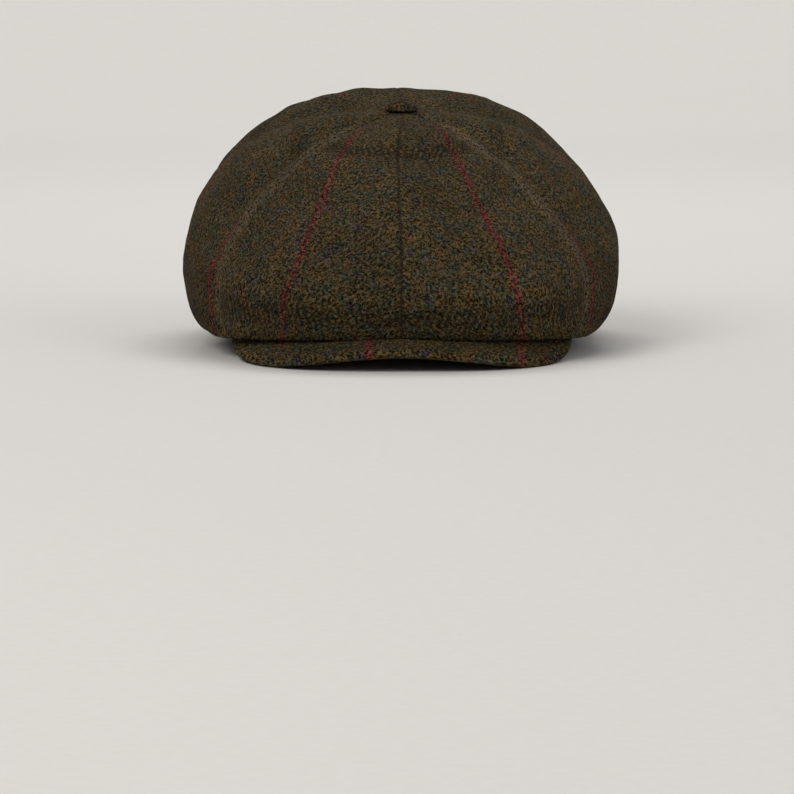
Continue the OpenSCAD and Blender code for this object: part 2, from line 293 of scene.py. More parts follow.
def wall_point(u, s, depth):
    """The lower wall: s runs from the widest line down to the fold."""
    normal = bisector(u) * FOLD_STRETCH
    low = under_point(u, np.zeros_like(u)) + depth[..., None] * normal
    out, down = wall_round(s)
    z = mix(around(u, *WIDEST), low[..., 2], down)
    return np.concatenate([mix(low[..., :2], widest_plan(u, depth), out), z[..., None]], -1)


def crown_point(u, v, depth):
    """A point of the tweed crown, before its puffs and folds."""
    depth = np.broadcast_to(np.asarray(depth, float), u.shape)
    top = dome_point(u, np.clip(v / TOP_SHARE, 0, 1), depth)
    wall = wall_point(u, np.clip((v - TOP_SHARE) / (WALL_SHARE - TOP_SHARE), 0, 1), depth)
    w = np.clip((v - WALL_SHARE) / (1 - WALL_SHARE), 0, 1)
    turned = bisector(u) * FOLD_STRETCH
    into = mix(turned, under_normal(u), np.minimum(1, 3 * w)[..., None])
    under = under_point(u, w) + depth[..., None] * into
    on_top, on_wall = (v < TOP_SHARE)[..., None], (v < WALL_SHARE)[..., None]
    return np.where(on_top, top, np.where(on_wall, wall, under))


# ---- puffs, ridges and folds of the tweed ----

# Puff between the seams low on the crown, and higher up for each kind of panel
PUFF = 2.4
PUFF_HIGH = (-0.8, 0.8, 2.4, 1.0)
# Where on the way from button to rim each kind of relief comes in and goes out
HIGH_SPAN = (0.08, 0.28, 0.36, 0.52)
LOW_SPAN = (0.45, 0.66, 0.74, 0.87)
RIDGE_SPAN = (0.05, 0.2, 0.42, 0.6)
SUNK_SPAN = (0.5, 0.62, 0.78, 0.87)
EDGE_SPAN = (0.0, 0.07, 0.93, 0.99)
SOFT_SPAN = (0.04, 0.2, 0.8, 0.87)
# Gathers lift the cloth under the button
GATHER_HEIGHT = 0.7
GATHER_END = 0.05
RIDGE_WIDTH = 6.0
GROOVE_WIDTH = 0.75


def waves(points, size, count, seed):
    """Smooth noise, about -1 to 1, from waves of one size in random directions."""
    rng = np.random.default_rng(seed)
    total = np.zeros(points.shape[:-1])
    for _ in range(count):
        direction = unit(rng.normal(size=3)) * (2 * math.pi / size) * rng.uniform(0.6, 1.5)
        total += np.sin(points @ direction + rng.uniform(0, 2 * math.pi))
    return total / math.sqrt(count)


def near_path(points, path, width):
    """1 on a path of (x, z) points seen from the front, falling to 0 over a width, front half only."""
    flat = points[..., (0, 2)]
    best = np.full(points.shape[:-1], 1e9)
    for a, b in zip(path[:-1], path[1:]):
        a, b = np.array(a, float), np.array(b, float)
        t = np.clip(((flat - a) @ (b - a)) / ((b - a) @ (b - a)), 0, 1)[..., None]
        best = np.minimum(best, np.linalg.norm(flat - (a + (b - a) * t), axis=-1))
    return np.exp(-(best / width) ** 2) * ramp(10, -25, points[..., 1])


# Folds that the cloth holds: (path of x, z points seen from the front, width, height)
FOLDS = (
    (((-20, 93), (-26, 82), (-30, 66), (-30, 52)), 6.5, -1.5),
    (((11, 93), (20, 82), (24, 64), (30, 46)), 6.5, -1.5),
    (((-38, 88), (-50, 62), (-56, 40)), 9, 0.9),
    (((36, 88), (48, 62), (56, 40)), 9, 0.9),
    (((-84, 63), (-88, 49)), 5, -1.2),
    (((84, 64), (89, 54)), 5, -1.2),
    (((-22, 94), (0, 92), (25, 94)), 5, -1.8),
    (((-30, 101), (0, 104), (30, 101)), 6, 0.8),
)

# Height of the ridge that each seam's folded edges make on the upper crown
RIDGES = {0.0: 0.3, 55.0: 1.8, 90.0: 1.1, 132.0: 1.5, 180.0: 0.9}
RIDGE_SINK = 0.45
# Depth of the groove along each seam
GROOVES = {0.0: 0.5, 55.0: 0.4, 90.0: 0.4, 132.0: 0.25, 180.0: 0.2}


def seam_ridge(seam, v):
    """Height of a seam's ridge, which sinks lower down, where the puffs pull it in."""
    return RIDGES[seam] * (between(RIDGE_SPAN, v) - RIDGE_SINK * between(SUNK_SPAN, v))


# How far the top of the crown has slumped towards the wearer's right
SLUMP = 2.0


def slumped(points):
    """Moves the upper crown to one side, all but the part that the button holds."""
    out = points.copy()
    far = np.hypot(points[..., 0], points[..., 1] - POLE[1])
    out[..., 0] -= SLUMP * ramp(50, 95, points[..., 2]) * ramp(12, 60, far)
    return out


def belly(panel, share, v):
    """How far a panel puffs out between its seams."""
    puff = PUFF * between(LOW_SPAN, v) + PUFF_HIGH[panel] * between(HIGH_SPAN, v)
    return sin_d(180 * share) * puff


def relief(panel, share, v, width, points):
    """How far the cloth stands out from the plain crown."""
    h = belly(panel, share, v) + GATHER_HEIGHT * (1 - ramp(0.0, GATHER_END, v))
    edge = between(EDGE_SPAN, v)
    for seam, distance in ((SEAMS[panel], share * width), (SEAMS[panel + 1], (1 - share) * width)):
        h = h + seam_ridge(seam, v) * np.exp(-(distance / RIDGE_WIDTH) ** 2) * edge
        h = h - GROOVES[seam] * np.exp(-(distance / GROOVE_WIDTH) ** 2) * ramp(0.0, 0.03, v)
    soft = between(SOFT_SPAN, v)
    for path, spread, height in FOLDS:
        h = h + height * near_path(points, path, spread) * soft
    h = h + soft * 0.55 * waves(points, size=42, count=7, seed=3)
    h = h + soft * 0.22 * waves(points, size=17, count=9, seed=4)
    return h + edge * 0.05 * waves(points, size=5.5, count=12, seed=5)


# ---- meshes ----


SHARP_ANGLE = 50


def add_object(name, data):
    obj = bpy.data.objects.new(name, data)
    bpy.context.scene.collection.objects.link(obj)
    return obj


def make_object(name, vertices, faces, uvs=None):
    """A smooth-shaded mesh object from vertices in millimetres."""
    mesh = bpy.data.meshes.new(name)
    mesh.from_pydata((np.asarray(vertices) * MM).tolist(), [], faces)
    if uvs is not None:
        layer = mesh.uv_layers.new(name="weave")
        index = np.zeros(len(mesh.loops), np.int32)
        mesh.loops.foreach_get("vertex_index", index)
        layer.data.foreach_set("uv", (np.asarray(uvs)[index] * MM).astype(np.float32).ravel())
    mesh.shade_smooth()
    mesh.set_sharp_from_angle(angle=math.radians(SHARP_ANGLE))
    return add_object(name, mesh)


def sheet_faces(rows, cols, closed=False):
    """Faces of a sheet with thickness, between two grids of rows by cols points. closed joins the last
    column to the first."""
    count = rows * cols
    spans = cols if closed else cols - 1
    faces = []
    for i in range(rows - 1):
        for j in range(spans):
            k = (j + 1) % cols
            a, b, c, d = i * cols + j, (i + 1) * cols + j, (i + 1) * cols + k, i * cols + k
            faces.append((a, b, c, d))
            faces.append((count + a, count + d, count + c, count + b))
    for j in range(spans):
        k = (j + 1) % cols
        faces.append((j, k, count + k, count + j))
        last = (rows - 1) * cols
        faces.append((last + j, count + last + j, count + last + k, last + k))
    if not closed:
        for i in range(rows - 1):
            a, b = i * cols, (i + 1) * cols
            faces.append((a, count + a, count + b, b))
            a, b = a + cols - 1, b + cols - 1
            faces.append((a, b, count + b, count + a))
    return faces


def sheet_object(name, upper, lower, uvs=None, closed=False, flip=False):
    """A closed sheet of cloth between an upper and a lower grid of points."""
    rows, cols = upper.shape[:2]
    faces = sheet_faces(rows, cols, closed)
    if flip:
        faces = [tuple(reversed(f)) for f in faces]
    vertices = np.concatenate([upper.reshape(-1, 3), lower.reshape(-1, 3)])
    if uvs is not None:
        uvs = np.concatenate([uvs.reshape(-1, 2)] * 2)
    return make_object(name, vertices, faces, uvs)


def grid_normals(points):
    """Unit normals of a grid of points."""
    along = np.gradient(points, axis=0)
    across = np.gradient(points, axis=1)
    return unit(np.cross(along, across) + 1e-12)


def arc_lengths(points, axis):
    """Distance travelled along one axis of a grid of points."""
    steps = np.linalg.norm(np.diff(points, axis=axis), axis=-1)
    zero = np.zeros_like(np.take(steps, [0], axis=axis))
    return np.cumsum(np.concatenate([zero, steps], axis=axis), axis=axis)


# ---- materials ----


class Nodes:
    """A short way to build a material's node tree."""

    def __init__(self, name):
        self.material = bpy.data.materials.new(name)
        self.material.use_nodes = True
        self.tree = self.material.node_tree
        self.shader = self.tree.nodes["Principled BSDF"]

    def new(self, kind):
        return self.tree.nodes.new("ShaderNode" + kind)

    def link(self, value, socket):
        """Links a socket to another node's output, or gives it a plain value."""
        if isinstance(value, bpy.types.NodeSocket):
            self.tree.links.new(value, socket)
        else:
            socket.default_value = value

    def math(self, operation, a, b=0.0, c=0.0):
        node = self.new("Math")
        node.operation = operation
        for socket, value in zip(node.inputs, (a, b, c)):
            self.link(value, socket)
        return node.outputs[0]

    def plus(self, a, b):
        return self.math("ADD", a, b)

    def minus(self, a, b):
        return self.math("SUBTRACT", a, b)

    def times(self, a, b):
        return self.math("MULTIPLY", a, b)

    def scaled(self, value, factor, offset):
        return self.math("MULTIPLY_ADD", value, factor, offset)

    def modulo(self, a, b):
        return self.math("FLOORED_MODULO", a, b)

    def sine(self, angle):
        return self.math("SINE", angle)

    def choose(self, factor, a, b):
        """a where the factor is 0, b where it is 1."""
        return self.scaled(factor, self.minus(b, a), a)

    def mix(self, factor, a, b, blend="MIX"):
        node = self.new("Mix")
        node.data_type = "RGBA"
        node.blend_type = blend
        for socket, value in ((node.inputs[0], factor), (node.inputs[6], a), (node.inputs[7], b)):
            self.link(value, socket)
        return node.outputs[2]

    def noise(self, vector, scale, detail=2.0, roughness=0.5, distortion=0.0):
        node = self.new("TexNoise")
        self.link(vector, node.inputs["Vector"])
        for socket, value in (("Scale", scale), ("Detail", detail), ("Roughness", roughness),
                              ("Distortion", distortion)):
            node.inputs[socket].default_value = value
        return node.outputs["Fac"]

    def ramp(self, value, stops):
        """Colours at places along a number, blended between them."""
        node = self.new("ValToRGB")
        elements = node.color_ramp.elements
        while len(elements) < len(stops):
            elements.new(0.5)
        for element, (place, colour) in zip(elements, stops):
            element.position = place
            element.color = (*colour, 1)
        self.link(value, node.inputs[0])
        return node.outputs[0]

    def shade(self, colour, tone):
        """A colour times a number."""
        return self.mix(1.0, colour, self.combine(tone, tone, tone), "MULTIPLY")

    def combine(self, x, y, z=0.0):
        node = self.new("CombineXYZ")
        for socket, value in zip(node.inputs, (x, y, z)):
            self.link(value, socket)
        return node.outputs[0]

    def separate(self, vector):
        node = self.new("SeparateXYZ")
        self.link(vector, node.inputs[0])
        return node.outputs[0], node.outputs[1], node.outputs[2]

    def uv(self):
        node = self.new("UVMap")
        node.uv_map = "weave"
        return node.outputs[0]

    def attribute(self, name):
        node = self.new("Attribute")
        node.attribute_name = name
        return node.outputs["Fac"]

    def position(self):
        return self.new("TexCoord").outputs["Object"]

    def bump(self, height, distance, strength=1.0, normal=None):
        node = self.new("Bump")
        node.inputs["Strength"].default_value = strength
        node.inputs["Distance"].default_value = distance
        self.link(height, node.inputs["Height"])
        if normal is not None:
            self.link(normal, node.inputs["Normal"])
        return node.outputs[0]

    def finish(self, colour, normal=None, roughness=None, **values):
        self.link(colour, self.shader.inputs["Base Color"])
        if normal is not None:
            self.link(normal, self.shader.inputs["Normal"])
        if roughness is not None:
            self.link(roughness, self.shader.inputs["Roughness"])
        for name, value in values.items():
            self.shader.inputs[name.replace("_", " ")].default_value = value
        return self.material


# Pitch of the tweed's yarns, and how far they wander, in yarns
YARN = 1.3 * MM
WANDER = 2.4
# Yarns from one crimson line to the next, and in one line
LINE_YARNS = 52
LINE_WIDTH = 2.6
HALF_LINE = LINE_WIDTH * YARN / MM / 2
# Yarns from one dark band to the next, in one band, before the first, and from rib to rib
BAND_YARNS = 84
BAND_WIDTH = 9
BAND_START = 5
RIB_YARNS = 2.4

INK = (0.0040, 0.0027, 0.0020)
CRIMSON = (0.088, 0.0050, 0.0090)
DARK_CRIMSON = (0.036, 0.0050, 0.0065)
PALE_FIBRE = (0.160, 0.114, 0.066)
# Pale fibres of the painted highlight beside the seams
HIGHLIGHT_FIBRE = (0.205, 0.155, 0.098)
# Wools carded into the yarn, from the cool ones to the warm ones
WOOLS = ((0.06, (0.024, 0.009, 0.020)), (0.16, (0.008, 0.012, 0.019)), (0.26, (0.007, 0.019, 0.012)),
         (0.37, (0.016, 0.018, 0.005)), (0.48, (0.021, 0.0155, 0.007)), (0.58, (0.025, 0.014, 0.007)),
         (0.68, (0.027, 0.020, 0.004)), (0.80, (0.038, 0.028, 0.004)), (0.92, (0.046, 0.013, 0.005)))
# Brightness by the grain: dark gaps, then wool, then fibres that catch the light
GRAIN_VALUES = ((0.40, (0.03,) * 3), (0.47, (0.38,) * 3), (0.53, (1.6,) * 3), (0.60, (4.4,) * 3))
# Where the pale loose fibres lie thinly and thickly
FIBRE_PATCHES = ((0.44, (0.05,) * 3), (0.58, (1.0,) * 3))


def loose_fibres(n, vector, scale, width):
    """Thin curling lines, where a noise crosses its middle value."""
    away = n.math("ABSOLUTE", n.minus(n.noise(vector, scale, 1, 0.5, 1.3), 0.5))
    return n.math("MAXIMUM", n.minus(1.0, n.math("DIVIDE", away, width)), 0.0)


def yarn_place(n, along, wander):
    """Place along the cloth in yarns, which wander a little."""
    return n.scaled(n.minus(wander, 0.5), WANDER, n.math("DIVIDE", along, YARN))


def carded_wool(n, uv, crossed, warp, weft, over):
    """The wool's colour drifts in soft clumps, and each yarn keeps a little of its own."""
    across_warp = n.combine(n.times(n.math("FLOOR", warp), 5.3), n.times(weft, 0.55))
    across_weft = n.combine(n.times(warp, 0.55), n.times(n.math("FLOOR", weft), 5.3), 7.0)
    own = n.choose(over, n.noise(across_weft, 1.0, 3, 0.65), n.noise(across_warp, 1.0, 3, 0.65))
    small_clump = n.times(n.noise(crossed, 380, 2, 0.7), 0.25)
    clump = n.scaled(n.noise(uv, 120, 3, 0.7), 0.55, small_clump)
    mixed = n.scaled(own, 0.20, clump)
    return n.ramp(n.scaled(n.minus(mixed, 0.5), 4.2, 0.5), WOOLS)


def crimson_lines(n, colour, warp, over):
    """Crimson lines are a few warp yarns, so they show as slanting dashes."""
    line = n.math("LESS_THAN", n.modulo(warp, LINE_YARNS), LINE_WIDTH)
    crimson = n.mix(n.times(over, 0.85), (*DARK_CRIMSON, 1), (*CRIMSON, 1))
    return n.mix(n.times(line, 0.90), colour, crimson)


def dark_bands(n, colour, uv, warp, weft):
    """Soft bands across the warp, in which the yarns darken into ribs along the twill."""
    place = n.modulo(n.plus(weft, BAND_WIDTH + BAND_START), BAND_YARNS)
    from_edge = n.math("MINIMUM", place, n.minus(BAND_WIDTH, place))
    band = n.math("MINIMUM", n.math("MAXIMUM", n.times(from_edge, 0.5), 0.0), 1.0)
    slope = n.scaled(weft, 0.5, warp)
    rib = n.scaled(n.sine(n.times(slope, 2 * math.pi / RIB_YARNS)), 0.5, 0.5)
    faded = n.times(n.times(band, rib), n.noise(uv, 90, 2))
    return n.mix(n.times(faded, 1.1), colour, (*INK, 1))


def painted_seam_light(n, colour, grain):
    """Painted highlight: pale fibres on the raised grain where the cloth is folded over a seam, as its
    ridge catching the light; and painted shade darkening a seam's crease.
    """
    raised = n.math("MAXIMUM", n.times(n.minus(grain, 0.42), 5.0), 0.0)
    # Painted highlight on the raised grain beside the seams
    highlit = n.times(n.attribute("painted_highlight"), n.math("MINIMUM", raised, 0.8))
    colour = n.mix(highlit, colour, (*HIGHLIGHT_FIBRE, 1))
    # Painted shade in the seams' creases, in dark ink
    return n.mix(n.times(n.attribute("crease"), 0.85), colour, (*INK, 1))


def felted_yarns(n, warp, weft, over, grain, hair):
    """Relief: soft round yarns under a felt of fibres."""
    warp_round = n.sine(n.times(n.math("FRACT", warp), math.pi))
    weft_round = n.sine(n.times(n.math("FRACT", weft), math.pi))
    yarn = n.choose(over, weft_round, warp_round)
    height = n.scaled(yarn, 0.35, n.times(hair, 0.5))
    return n.bump(n.scaled(grain, 2.4, height), 0.35 * MM, 0.9)


def tweed(name, shade):
    """Heathered twill: carded yarns of many colours, loose pale fibres, dark bands and crimson lines."""
    n = Nodes(name)
    uv = n.uv()
    u, v, _ = n.separate(uv)
    crossed = n.combine(v, u, 0.3)
    slanted = n.combine(n.plus(u, v), n.minus(u, v), 0.6)
    warp = yarn_place(n, u, n.noise(uv, 240, 3, 0.6))
    weft = yarn_place(n, v, n.noise(crossed, 240, 3, 0.6))
    step = n.plus(n.math("FLOOR", warp), n.math("FLOOR", weft))
    over = n.math("LESS_THAN", n.modulo(step, 4.0), 2.0)

    colour = carded_wool(n, uv, crossed, warp, weft, over)
    colour = crimson_lines(n, colour, warp, over)
    grain = n.noise(slanted, 700, 2, 0.6, 0.7)
    colour = n.mix(1.0, colour, n.ramp(grain, GRAIN_VALUES), "MULTIPLY")
    hair = n.math("MAXIMUM", loose_fibres(n, uv, 400, 0.055), loose_fibres(n, crossed, 520, 0.07))
    patchy = n.ramp(n.noise(slanted, 420, 1), FIBRE_PATCHES)
    colour = n.mix(n.times(hair, patchy), colour, (*PALE_FIBRE, 1))
    colour = dark_bands(n, colour, uv, warp, weft)
    colour = painted_seam_light(n, colour, grain)

    # Broad, faint drift of shade over the cloth
    drift = n.scaled(n.plus(n.noise(uv, 34, 2), n.noise(uv, 9, 1)), 0.7, 0.3)
    colour = n.shade(colour, n.times(drift, shade))
    normal = felted_yarns(n, warp, weft, over, grain, hair)
    return n.finish(colour, normal, Roughness=0.95, Specular_IOR_Level=0.05, Sheen_Weight=0.015,
                    Sheen_Roughness=0.5, Sheen_Tint=(0.75, 0.55, 0.38, 1))


def woven(name, colour, pitch):
    """Plain-woven cloth for tape, canvas and tabs."""
    n = Nodes(name)
    x, y, z = n.separate(n.position())
    p = n.math("DIVIDE", n.plus(x, z), pitch)
    q = n.math("DIVIDE", n.minus(y, z), pitch)
    checker = n.modulo(n.plus(n.math("FLOOR", p), n.math("FLOOR", q)), 2.0)
    grain = n.noise(n.position(), 900, 3)
    tone = n.scaled(n.scaled(checker, 0.4, grain), 0.25, 0.75)
    height = n.plus(n.sine(n.times(p, 2 * math.pi)),
                    n.sine(n.times(q, 2 * math.pi)))
    return n.finish(n.shade((*colour, 1), tone), n.bump(height, 0.05 * MM, 0.7), Roughness=0.85,
                    Sheen_Weight=0.2, Sheen_Roughness=0.5)


def satin(name):
    """Dark lining satin: long fine floats, soft gloss and small ripples."""
    n = Nodes(name)
    uv = n.uv()
    u, v, _ = n.separate(uv)
    streaks = n.noise(n.combine(n.times(u, 9000.0), n.times(v, 500.0)), 1.0, 3, 0.6)
    ripple = n.noise(uv, 55, 3)
    colour = n.ramp(streaks, ((0.3, (0.022, 0.016, 0.012)), (0.7, (0.048, 0.035, 0.026))))
    rough = n.scaled(streaks, 0.2, 0.30)
    normal = n.bump(streaks, 0.03 * MM, 0.6, n.bump(ripple, 1.2 * MM, 0.6))
    return n.finish(colour, normal, rough, Anisotropic=0.5, Sheen_Weight=0.25, Sheen_Roughness=0.35)


def leather(name):
    """Brown sheepskin with pebbled grain, creases and darker worn places."""
    n = Nodes(name)
    place = n.position()
    pebble = n.new("TexVoronoi")
    pebble.feature = "DISTANCE_TO_EDGE"
    pebble.inputs["Scale"].default_value = 1150
    n.link(place, pebble.inputs["Vector"])
    grain = n.math("MINIMUM", n.times(pebble.outputs["Distance"], 4.0), 1.0)
    pores = n.noise(place, 2600, 2)
    worn = n.noise(place, 60, 4, 0.6)
    colour = n.ramp(worn, ((0.3, (0.075, 0.034, 0.016)), (0.55, (0.135, 0.064, 0.030)),
                           (0.75, (0.18, 0.092, 0.045))))
    colour = n.shade(colour, n.scaled(grain, 0.35, 0.65))
    rough = n.scaled(worn, 0.25, 0.38)
    height = n.scaled(pores, 0.3, grain)
    return n.finish(colour, n.bump(height, 0.10 * MM, 0.55), rough, Specular_IOR_Level=0.4)


THREAD_TWIST = 0.35 * MM


def thread(name, colour):
    """Twisted sewing thread."""
    n = Nodes(name)
    x, y, z = n.separate(n.position())
    along = n.plus(n.plus(x, y), z)
    twist = n.sine(n.times(along, 2 * math.pi / THREAD_TWIST))
    base = n.shade((*colour, 1), n.scaled(twist, 0.22, 0.8))
    return n.finish(base, n.bump(twist, 0.05 * MM, 0.8), Roughness=0.6, Sheen_Weight=0.3)


def pressed_steel(name):
    """Pressed steel with fine turning marks."""
    n = Nodes(name)
    marks = n.noise(n.position(), 1800, 3)
    colour = n.ramp(marks, ((0.35, (0.42, 0.42, 0.41)), (0.65, (0.62, 0.62, 0.60))))
    rough = n.scaled(marks, 0.25, 0.25)
    return n.finish(colour, n.bump(marks, 0.02 * MM, 0.4), rough, Metallic=1.0)


def board(name):
    """Pressed fibre board."""
    n = Nodes(name)
    fibres = n.noise(n.position(), 420, 5, 0.7, 0.6)
    colour = n.ramp(fibres, ((0.3, (0.36, 0.29, 0.18)), (0.7, (0.56, 0.47, 0.31))))
    return n.finish(colour, n.bump(fibres, 0.15 * MM, 0.5), Roughness=0.8)


def paper_floor(name):
    """Plain pale studio floor."""
    n = Nodes(name)
    tooth = n.noise(n.position(), 240, 3)
    colour = n.ramp(tooth, ((0.3, (0.70, 0.685, 0.66)), (0.7, (0.72, 0.705, 0.68))))
    return n.finish(colour, Roughness=0.9, Specular_IOR_Level=0.2)


# One cloth in two copies of different brightness, the crown's darker than the peak's: partly the cloth's
# own colour, partly painted shade on the crown
TWEED = tweed("tweed", 0.87)
PEAK_TWEED = tweed("peak_tweed", 1.0)
SATIN = satin("lining_satin")
LEATHER = leather("sweatband_leather")
CANVAS = woven("canvas", (0.55, 0.49, 0.38), 0.5 * MM)
TAPE = woven("cotton_tape", (0.62, 0.57, 0.46), 0.45 * MM)
BAND_THREAD = thread("tan_thread", (0.40, 0.29, 0.15))
BROWN_THREAD = thread("brown_thread", (0.03, 0.022, 0.014))
STEEL = pressed_steel("pressed_steel")
BOARD = board("fibre_board")

# ---- how a piece joins the model ----


def set_painted_light(obj, name, values):
    """Stores how much painted highlight and painted crease shade each point of a sheet's outer and inner
    grid gets.
    """
    layer = obj.data.attributes.new(name, "FLOAT", "POINT")
    layer.data.foreach_set("value", np.concatenate([np.ravel(values)] * 2).astype(np.float32))


def dress(obj, material, slot):
    """Gives a piece its material; slot is not used."""
    obj.data.materials.clear()
    obj.data.materials.append(material)


def attach(obj, node, material, slot, body="cap", bends=False):
    """Dresses a piece and puts it in place of its CAD node, on its body, or with its place baked into its
    mesh and on no body.
    """
    dress(obj, material, slot)
    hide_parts(node)
    if bends:
        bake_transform(obj)
    else:
        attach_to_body(obj, body)


# ---- the camera comes first ----

CAMERA_DISTANCE = 2000.0
CAMERA_RISE = 5.6
# The cap sits a little above and right of the picture's middle
LOOK_LOWER = 0.778
CAMERA_SIDE = -2.1
FOCAL_LENGTH = 190.3


def make_camera():
    data = bpy.data.cameras.new("camera")
    data.lens = FOCAL_LENGTH
    data.sensor_width = 36
    data.clip_end = 50
    camera = add_object("camera", data)
    rise = math.radians(CAMERA_RISE)
    camera.location = (CAMERA_SIDE * MM, -CAMERA_DISTANCE * MM * math.cos(rise),
                       CAMERA_DISTANCE * MM * math.sin(rise))
    camera.rotation_euler = (math.radians(90 - CAMERA_RISE - LOOK_LOWER), 0, 0)
    bpy.context.scene.camera = camera


make_camera()

# ---- tweed crown ----


def crown_sheet(name, outer, inner, height, side, uvs=None, hole_rows=3):
    """A sheet of the crown, raised along its normals and slumped with the rest. The button's hole has
    no steady normal, so the first rows use the next ones'."""
    normal = grid_normals(outer) * side
    normal[:hole_rows] = normal[hole_rows]
    raised = normal * height[..., None]
    return sheet_object(name, slumped(outer + raised), slumped(inner + raised), uvs, flip=side < 0)


PANEL_ROWS = 170
PANEL_COLS = 60
# How strongly columns gather at the seams, where the shape changes fastest
SEAM_GATHER = 0.75
# Where the crimson line falls in each kind of panel, from the panel's middle towards the back seam
LINE_PLACE = (-0.5, -36.0, 33.0, -15.0)
# How far a front panel's line drifts towards the back seam at the button and at the lower edge
LINE_DRIFT = (11.0, 5.0)
# Painted highlight beside each seam, as its ridge catching the light: how strong, how far from the seam,
# how widely, and from where to where
HIGHLIGHT_BY_SEAM = {0.0: 0.0, 55.0: 0.75, 90.0: 0.4, 132.0: 0.25, 180.0: 0.0}
HIGHLIGHT_PLACE = 1.2
HIGHLIGHT_WIDTH = 2.3
HIGHLIGHT_SPAN = (0.02, 0.12, 0.72, 0.85)
# Painted shade in the seams' creases: how dark at the front centre seam, at the others, and how wide
CREASE_FRONT = 0.65
CREASE = 0.3
CREASE_WIDTH = 0.6


def seam_highlight(index, share, v, width):
    """How much painted highlight the cloth gets beside its two seams."""
    first = HIGHLIGHT_BY_SEAM[SEAMS[index]] * np.exp(-((share * width - HIGHLIGHT_PLACE) / HIGHLIGHT_WIDTH) ** 2)
    second = HIGHLIGHT_BY_SEAM[SEAMS[index + 1]] * np.exp(-(((1 - share) * width - HIGHLIGHT_PLACE) / HIGHLIGHT_WIDTH) ** 2)
    return np.maximum(first, second) * between(HIGHLIGHT_SPAN, v)


def seam_crease_shade(index, share, v, width):
    """How much painted shade darkens the crease of its two seams: the front centre seam shows most."""
    darkest = CREASE_FRONT if index == 0 else CREASE
    first = darkest * np.exp(-(share * width / CREASE_WIDTH) ** 2)
    second = CREASE * np.exp(-((1 - share) * width / CREASE_WIDTH) ** 2)
    return np.maximum(first, second) * ramp(0.01, 0.06, v)


def cloth_place(index, side, rows, v, outer, lengths):
    """Place on the cloth of each point: across from the crimson line, and down from the fold."""
    down = arc_lengths(outer, 0)[:, PANEL_COLS // 2]
    fold = np.interp(WALL_SHARE, rows, down)
    drift = LINE_DRIFT[0] * (1 - ramp(0, 0.32, v)) + LINE_DRIFT[1] * ramp(0.6, WALL_SHARE, v)
    across = lengths - lengths[:, -1:] / 2 - LINE_PLACE[index] - drift * (index == 0) + HALF_LINE
    # Each panel is cut from its own place on the cloth, a whole number of repeats away
    across = across + 2 * (index + 4 * (side < 0)) * LINE_YARNS * YARN / MM
    along = (down - fold)[:, None] + (index + 5 * (side < 0)) * BAND_YARNS * YARN / MM
    return np.stack([across, np.broadcast_to(along, across.shape)], -1)


def make_panel(index, side, name):
    """A tweed panel with its painted seam highlight and crease shade. side is 1 on the left."""
    rows = np.linspace(0, 1, PANEL_ROWS)
    even = np.linspace(0, 1, PANEL_COLS)
    share = mix(even, 0.5 - 0.5 * np.cos(np.pi * even), SEAM_GATHER)
    v, a = np.meshgrid(rows, share, indexing="ij")
    u = mix(SEAMS[index], SEAMS[index + 1], a) * side
    outer = crown_point(u, v, 0.0)
    lengths = arc_lengths(outer, 1)
    width = lengths[:, -1:]
    obj = crown_sheet("tweed_" + name, outer, crown_point(u, v, TWEED_T),
                      relief(index, a, v, width, outer), side,
                      cloth_place(index, side, rows, v, outer, lengths))
    # Painted highlight beside the seams, and painted shade in their creases
    set_painted_light(obj, "painted_highlight", seam_highlight(index, a, v, width))
    set_painted_light(obj, "crease", seam_crease_shade(index, a, v, width))
    attach(obj, name, TWEED, "tweed", bends=index < 2)


def make_panels():
    for index, kind in enumerate(PANELS):
        for side, hand in SIDES:
            make_panel(index, side, f"panel_{kind}_{hand}")


make_panels()

# ---- lining ----

LINING_ROWS = 90
LINING_COLS = 40
LINING_T = 0.6
# The lining hangs this far inside the tweed, and at the front its widest line is further in and up
LINING_IN = 4.2
LINING_FRONT_IN = 7.0
LINING_FRONT_UP = 6.0
# Its lower edge is this far inside the rim and above its plane
LINING_EDGE_IN = 1.1
LINING_EDGE_UP = 10.5
LINING_HOLE = 0.6
# How much of the tweed's puff it follows, and where its ripples start and end
LINING_FOLLOWS = 0.9
LINING_SPAN = (0.0, 0.1, 0.9, 1.0)


def lining_point(u, v, depth):
    """A point of the lining, which hangs inside the tweed and ends behind the sweatband."""
    turn = TOP_SHARE / WALL_SHARE
    inset = LINING_IN + np.broadcast_to(np.asarray(depth, float), u.shape)
    less = around(u, LINING_FRONT_IN, 0.0, 0.0)
    more = around(u, LINING_FRONT_UP, 0.0, 0.0)
    top = dome_point(u, np.clip(v / turn, 0, 1), inset, less, more, LINING_HOLE)
    out, down = wall_round(np.clip((v - turn) / (1 - turn), 0, 1))
    end = rim_outline(u, -LINING_EDGE_IN)
    z = mix(around(u, *WIDEST) + more, rim_plane(end[..., 1]) + LINING_EDGE_UP + depth, down)
    low = np.concatenate([mix(end, widest_plan(u, inset + less), out), z[..., None]], -1)
    return np.where((v < turn)[..., None], top, low)


def lining_relief(index, share, v, width, points):
    """The lining's puff, its seams and its loose ripples."""
    h = LINING_FOLLOWS * belly(index, share, v * WALL_SHARE)
    edge = between(LINING_SPAN, v)
    near = np.minimum(share, 1 - share) * width
    h = h + edge * (0.45 * np.exp(-(near / 0.5) ** 2) - 0.6 * np.exp(-(near / 5) ** 2))
    h = h + edge * 0.35 * waves(points, size=30, count=7, seed=11)
    return h + edge * 0.16 * waves(points, size=11, count=9, seed=12)


